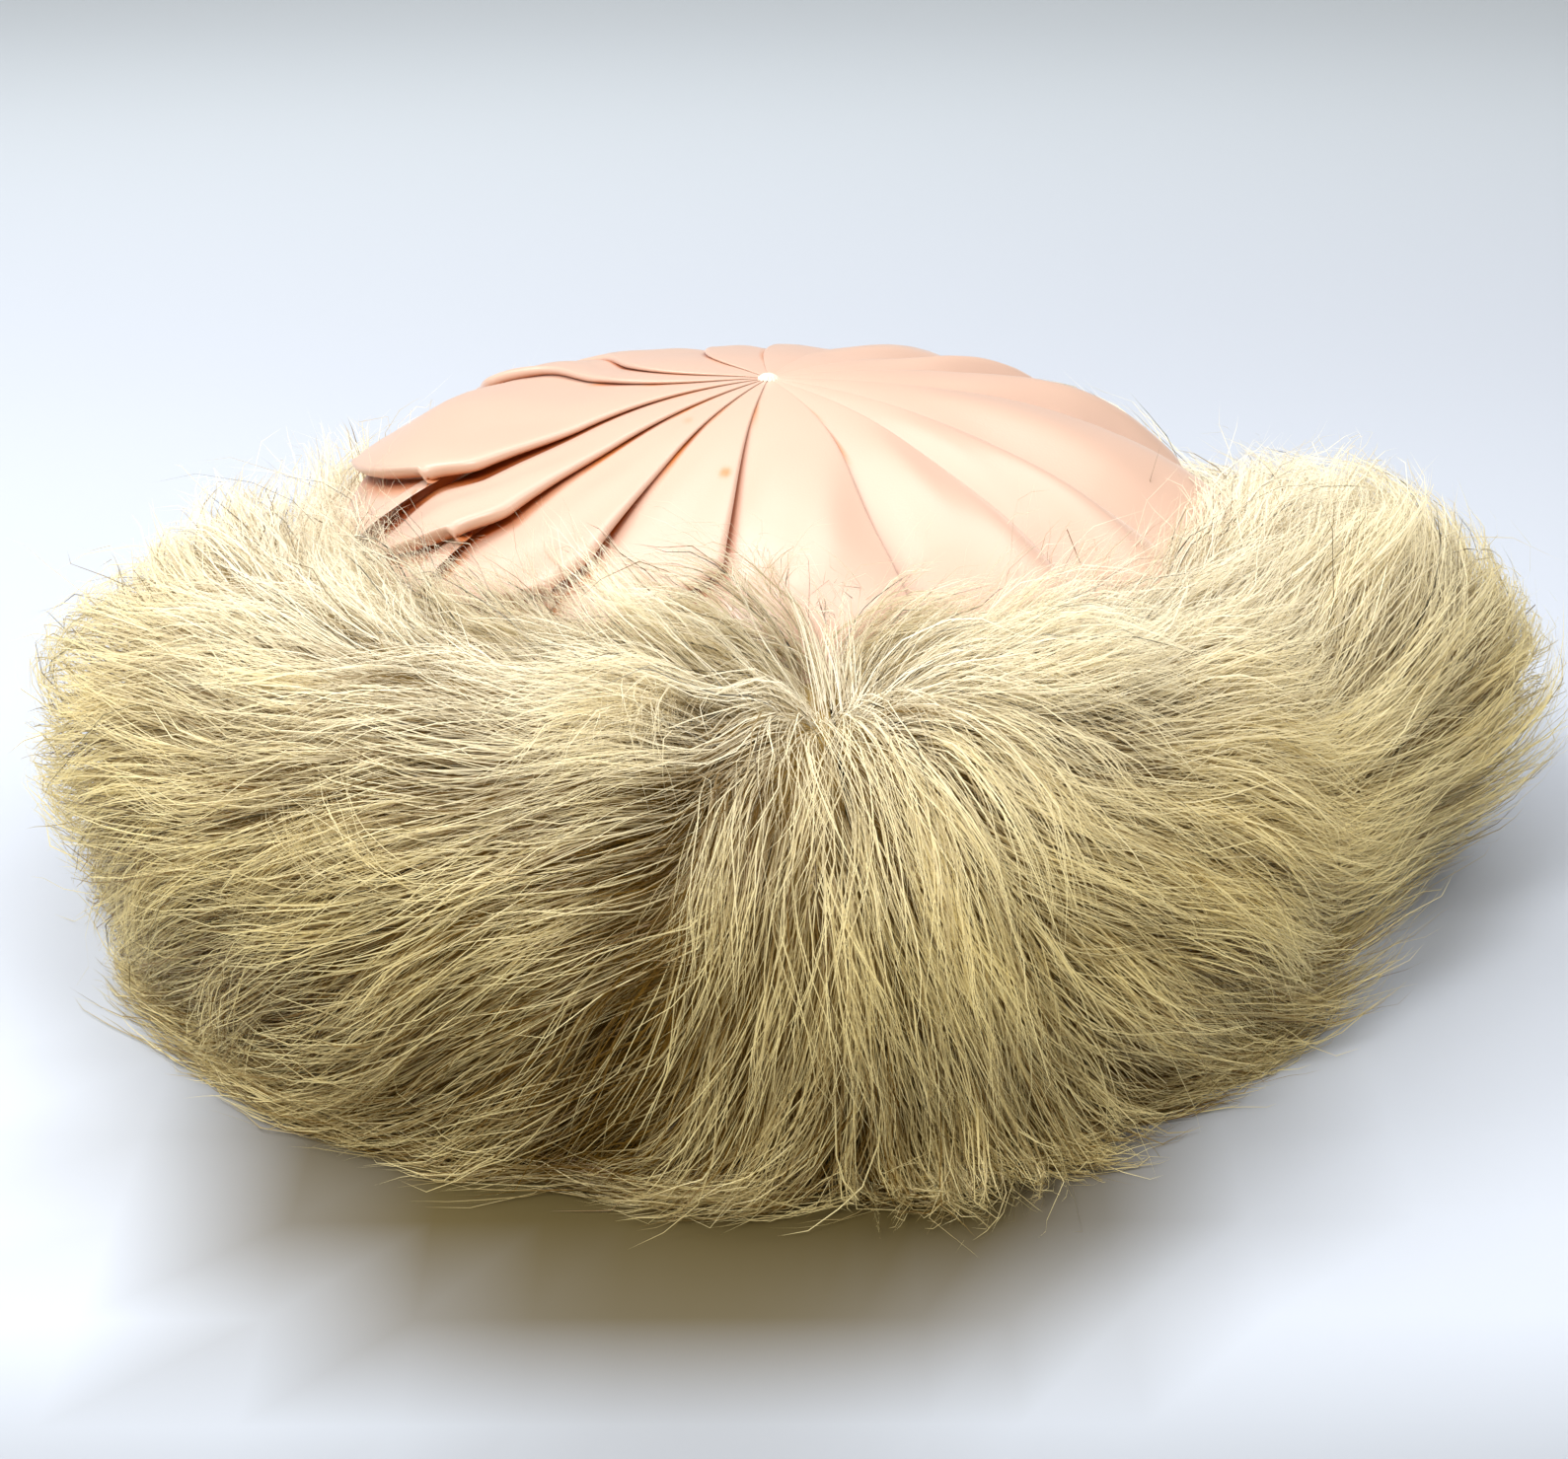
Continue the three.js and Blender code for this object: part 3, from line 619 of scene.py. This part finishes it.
def make_undercoat(name, low, high, material):
    """The dense short coat under the long hair: the band's surface, sunk, and closed underneath."""
    columns = int((high - low) / 2) + 1
    away = np.linspace(low, high, columns)[None, :]
    along = np.linspace(0.02, 0.97, 50)[:, None]
    ripple = 0.8 * np.sin(away * 0.9 + 14 * along) * np.sin(23 * along + 0.37 * away)
    face, _ = fur_point(away + 0 * along, along + 0 * away, ripple - UNDERCOAT_SUNK)
    face[..., 2] = np.maximum(face[..., 2], UNDERCOAT_FLOOR)
    edge = np.hypot(face[-1, :, 0], face[-1, :, 1])
    section = [(edge - 3, UNDERCOAT_FLOOR), (0.5 * (edge + INNER_SIDE[0][0]), UNDERCOAT_FLOOR)]
    section += [(95, UNDERCOAT_FLOOR), *INNER_SIDE]
    points = np.concatenate([face, *(turned(radius, PARTING + away, z) for radius, z in section)], 0)
    rows = len(points)
    ring = grid_faces(rows + 1, columns, closed=False)
    ring = np.where(ring >= rows * columns, ring - rows * columns, ring)
    first = np.arange(rows)[None, :] * columns
    return piece(name, points.reshape(-1, 3), [ring, first, first[:, ::-1] + columns - 1], material)


# Materials


def add(tree, kind, inputs=(), **settings):
    """A node with its settings; inputs gives its sockets, by name or number, values or other outputs."""
    node = tree.nodes.new("ShaderNode" + kind)
    for key, value in settings.items():
        setattr(node, key, value)
    for socket, value in dict(inputs).items():
        if isinstance(value, bpy.types.NodeSocket):
            tree.links.new(value, node.inputs[socket])
        else:
            node.inputs[socket].default_value = value
    return node


def shader(name, **settings):
    """A material of one Principled shader, with its tree and that shader."""
    material = bpy.data.materials.new(name)
    material.use_nodes = True
    tree = material.node_tree
    bsdf = tree.nodes["Principled BSDF"]
    for key, value in settings.items():
        bsdf.inputs[key.replace("_", " ")].default_value = value
    return material, tree, bsdf


def mottled(tree, size, low, high, stretch=(1, 1, 1)):
    """A colour that wanders between two over patches of a size in mm.

    The patches are longer along an axis with a small stretch."""
    place = add(tree, "Mapping", {"Vector": add(tree, "TexCoord").outputs["Object"], "Scale": stretch})
    settings = {"Vector": place.outputs["Vector"], "Scale": 1 / (size * MM), "Detail": 3}
    patches = add(tree, "TexNoise", settings)
    colours = {0: patches.outputs["Fac"], 6: (*linear(low), 1), 7: (*linear(high), 1)}
    return add(tree, "Mix", colours, data_type="RGBA").outputs[2]


def grain(tree, bsdf, size, depth, stretch=(1, 1, 1)):
    """A bump of fine grain, its size and depth in mm."""
    place = add(tree, "Mapping", {"Vector": add(tree, "TexCoord").outputs["Object"], "Scale": stretch})
    settings = {"Vector": place.outputs["Vector"], "Scale": 1 / (size * MM), "Detail": 2}
    noise = add(tree, "TexNoise", settings)
    bump = add(tree, "Bump", {"Height": noise.outputs["Fac"], "Strength": 1, "Distance": depth * MM})
    tree.links.new(bump.outputs["Normal"], bsdf.inputs["Normal"])


# How far the satin's gloss wanders, and over patches of what size
GLOSS_LOW, GLOSS_HIGH, GLOSS_PATCH = 0.28, 0.42, 50 / 3


def make_satin():
    """Woven satin of the mesh's tint: a soft shine that runs down the pleats and wanders a little.

    Its weave is drawn at half a millimetre, coarser than the real one, so that it shows."""
    material, tree, bsdf = shader("satin_weave", Sheen_Weight=0.25, Sheen_Roughness=0.3)
    tint = add(tree, "VertexColor", layer_name="tint")
    tree.links.new(tint.outputs["Color"], bsdf.inputs["Base Color"])
    grain(tree, bsdf, 0.5, 0.03, (1, 1, 0.15))
    place = add(tree, "TexCoord").outputs["Object"]
    patches = add(tree, "TexNoise", {"Vector": place, "Scale": 1 / (GLOSS_PATCH * MM), "Detail": 2})
    gloss = {"Value": patches.outputs["Fac"], "To Min": GLOSS_LOW, "To Max": GLOSS_HIGH}
    tree.links.new(add(tree, "MapRange", gloss).outputs["Result"], bsdf.inputs["Roughness"])
    return material


def make_hair():
    """Guard hair of the mesh's tint: smooth, shiny, and lit through from behind, so the coat glows."""
    material, tree, bsdf = shader("fur_guard_hair", Roughness=0.38)
    tint = add(tree, "VertexColor", layer_name="tint")
    tree.links.new(tint.outputs["Color"], bsdf.inputs["Base Color"])
    through = add(tree, "BsdfTranslucent", {"Color": tint.outputs["Color"]})
    both = add(tree, "MixShader", {0: 0.4, 1: bsdf.outputs["BSDF"], 2: through.outputs["BSDF"]})
    tree.links.new(both.outputs["Shader"], tree.nodes["Material Output"].inputs["Surface"])
    return material


def make_wool():
    """Crimped wool under the hair: dull and brown, the dark in the gaps of the coat."""
    material, tree, bsdf = shader("fur_undercoat", Roughness=0.9)
    tree.links.new(mottled(tree, 3, "#8f7434", "#b89c5c", (1, 1, 0.4)), bsdf.inputs["Base Color"])
    grain(tree, bsdf, 0.8, 0.5, (1, 1, 0.3))
    return material


def make_thread():
    """Twisted sewing thread: pale and matt, with a fine ripple."""
    material, tree, bsdf = shader("twisted_thread", Roughness=0.6)
    tree.links.new(mottled(tree, 0.6, "#e6cbb2", "#f8e6d4"), bsdf.inputs["Base Color"])
    grain(tree, bsdf, 0.3, 0.15)
    return material


def make_board():
    """Painted board of the mesh's tint: smooth and matt, with no pattern of its own."""
    material, tree, bsdf = shader("painted_board", Roughness=0.6)
    tint = add(tree, "VertexColor", layer_name="tint")
    tree.links.new(tint.outputs["Color"], bsdf.inputs["Base Color"])
    return material


satin, hair, woolly, thread = make_satin(), make_hair(), make_wool(), make_thread()

crown = make_crown(satin)
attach(crown, "root")
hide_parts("crown")

# Locks in a tuft, how much looser than the locks the tufts lie, how far the locks are drawn in to them
TUFT_LOCKS, TUFT_LOOSE, TUFT_PULL = 8, 1.35, 0.6
# The fur's pieces: name, solid that it replaces, away from and to, share of the face from and to, locks,
# hairs in a lock, points of a hair, its width, share of dark hairs, how loose the locks are
FUR = [
    ("fur_front", "fur_strip_front", 0, 38, 0, 0.98, 840, 13, 9, 0.205, 0.02, 1),
    ("fur_left_near", "fur_strip_left", -64, 0, 0, 0.98, 960, 12, 8, 0.215, 0.02, 1),
    ("fur_left_far", "fur_strip_left", -180, -64, 0, 0.98, 800, 9, 6, 0.24, 0.02, 1),
    ("fur_right_near", "fur_strip_right", 38, 90, 0, 0.98, 770, 11, 8, 0.215, 0.02, 1),
    ("fur_right_far", "fur_strip_right", 90, 180, 0, 0.98, 600, 8, 6, 0.24, 0.02, 1),
    ("fur_crest", None, -13, 13, 0.1, 0.27, 240, 13, 8, 0.19, 0.01, 1.3),
    ("fur_wisps_front", None, 0, 38, 0, 0.1, 350, 1, 7, 0.13, 0.08, 1.6),
    ("fur_wisps_left", None, -110, 0, 0, 0.1, 1100, 1, 7, 0.13, 0.08, 1.5),
    ("fur_wisps_right", None, 38, 80, 0, 0.1, 200, 1, 7, 0.13, 0.12, 1.4),
]
for number, (name, node, *part, locks, hairs, points, width, dark, loose) in enumerate(FUR):
    paths = guides(*part, locks, 20 + number, loose)
    heads = guides(*part, locks // TUFT_LOCKS, 80 + number, TUFT_LOOSE * loose)
    coat = strands(tufted(paths, heads, TUFT_PULL), hairs, points, 40 + number)
    made = ribbons(name, coat, width, hair, dark, 60 + number)
    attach(made, "root")
    if node:
        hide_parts(node)

for name, low, high in (
    ("undercoat_front", 0.2, 37.8),
    ("undercoat_left", -179.8, -0.2),
    ("undercoat_right", 38.2, 179.8),
):
    made = make_undercoat(name, low, high, woolly)
    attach(made, "root")

# The stitched point


def make_tack(material):
    """A small knot of gathered cloth and thread: a dome that falls as the radius squared, rippled."""
    rings, columns = 9, 60
    r = np.linspace(0.05, 2.2, rings)[:, None]
    azimuth = np.linspace(0, 360, columns, endpoint=False)[None, :]
    ripple = 0.15 * np.cos(np.radians(len(PLEATS) * azimuth)) * r / 2
    z = CROWN_TOP - 0.3 + 1.3 * (1 - (r / 2.4) ** 2) + ripple
    top = turned(r + 0 * azimuth, azimuth + 0 * r, z)
    return piece("crown_knot", top.reshape(-1, 3), [grid_faces(rings, columns)[:, ::-1]], material)


knot = make_tack(thread)
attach(knot, "root")
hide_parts("crown_tack")

# The table, the light and the camera


# The stage's line, front to back: how far back, how high
SWEEP = [
    (-2500, 0),
    (-1200, 0),
    (-700, 0),
    (-300, 0),
    (0, 0),
    (300, 0),
    (700, 0),
    (1100, 0),
    (1500, 20),
    (1900, 110),
    (2200, 300),
    (2400, 620),
    (2500, 1100),
    (2520, 2600),
]
# The painted brown shadow on the table under the hat's front: its middle and its reach to the side and to
# the front
PAINTED_SHADOW_MIDDLE, PAINTED_SHADOW_REACH = (-14, -130), (88, 74)


def make_stage(material):
    """A pale table that sweeps up behind into a wall, with painted light and shade in its tint: darker at
    the front of the table and greyer up the wall as painted shade, bluer and whiter where they meet as
    painted light, and a painted brown shadow under the hat's front.
    """
    line = spline(SWEEP, 260)
    columns = 61
    x = 3000 * np.linspace(-1, 1, columns) ** 3
    back, up = (np.repeat(line[:, k], columns) for k in (0, 1))
    points = np.stack([np.tile(x, len(line)), back, up], 1)
    x, y, z = (points[:, k : k + 1] for k in (0, 1, 2))
    # painted shade and light: the table darker towards the front, bluer and whiter where it meets the wall,
    # the wall greyer higher up
    beside = lerp(linear("#84888d"), linear("#bac0ca"), smooth(y, -260, -165))
    tint = lerp(beside, linear("#ced6de"), smooth(y, 300, 900))
    tint = lerp(tint, linear("#a9a9a8"), smooth(z, 40, 900))
    # painted shadow: the table's tint turns dark brown round the middle under the hat's front
    near = np.hypot((x - PAINTED_SHADOW_MIDDLE[0]) / PAINTED_SHADOW_REACH[0], (y - PAINTED_SHADOW_MIDDLE[1]) / PAINTED_SHADOW_REACH[1])
    tint = tint * lerp(linear("#6f5c2c"), np.ones(3), smooth(near, 0.58, 1.3) ** 1.5)
    return piece("table", points, [grid_faces(len(line), columns, closed=False)], material, tint)


table = make_stage(make_board())

# The soft square lights, in mm from the crown's axis: name, place, height that it faces, size, power
LIGHTS = [
    ("window_left", (-750, 200, 900), 40, 600, 9.2),
    ("window_right", (550, -500, 1100), 40, 600, 6.6),
    ("ceiling", (0, 350, 1200), 60, 900, 6.5),
    ("front", (-350, -700, 900), 30, 300, 8.6),
]
for name, place, height, size, power in LIGHTS:
    data = bpy.data.lights.new(name, "AREA")
    data.size, data.energy = size * MM, power
    lamp = bpy.data.objects.new(name, data)
    lamp.location = np.array(place) * MM + AXIS
    lamp.rotation_euler = (Vector((0, 0, height)) - Vector(place)).to_track_quat("-Z", "Y").to_euler()
    bpy.context.scene.collection.objects.link(lamp)


def make_room():
    """The light all round: cool and bright from behind, brown and dim from the front."""
    world = bpy.data.worlds.new("room")
    bpy.context.scene.world = world
    world.use_nodes = True
    tree = world.node_tree
    way = add(tree, "SeparateXYZ", {"Vector": add(tree, "TexCoord").outputs["Generated"]})
    back = add(tree, "MapRange", {"Value": way.outputs["Y"], "From Min": -0.8, "From Max": 0.3})
    colours = {0: back.outputs["Result"], 6: (*linear("#a69465"), 1), 7: (*linear("#f0f5ff"), 1)}
    sky = tree.nodes["Background"]
    tree.links.new(add(tree, "Mix", colours, data_type="RGBA").outputs[2], sky.inputs["Color"])
    sky.inputs["Strength"].default_value = 0.68


make_room()
bpy.context.scene.view_settings.view_transform = "Standard"
bpy.context.scene.view_settings.look = "None"

lens = bpy.data.cameras.new("camera")
lens.sensor_width, lens.lens = 36, 65.25
lens.clip_start, lens.clip_end = 0.01, 20
camera = bpy.data.objects.new("camera", lens)
camera.location = np.array([0, -562.0, 270.1]) * MM + AXIS
camera.rotation_euler = np.radians([66.2, 0, -0.328])
bpy.context.scene.collection.objects.link(camera)
bpy.context.scene.camera = camera
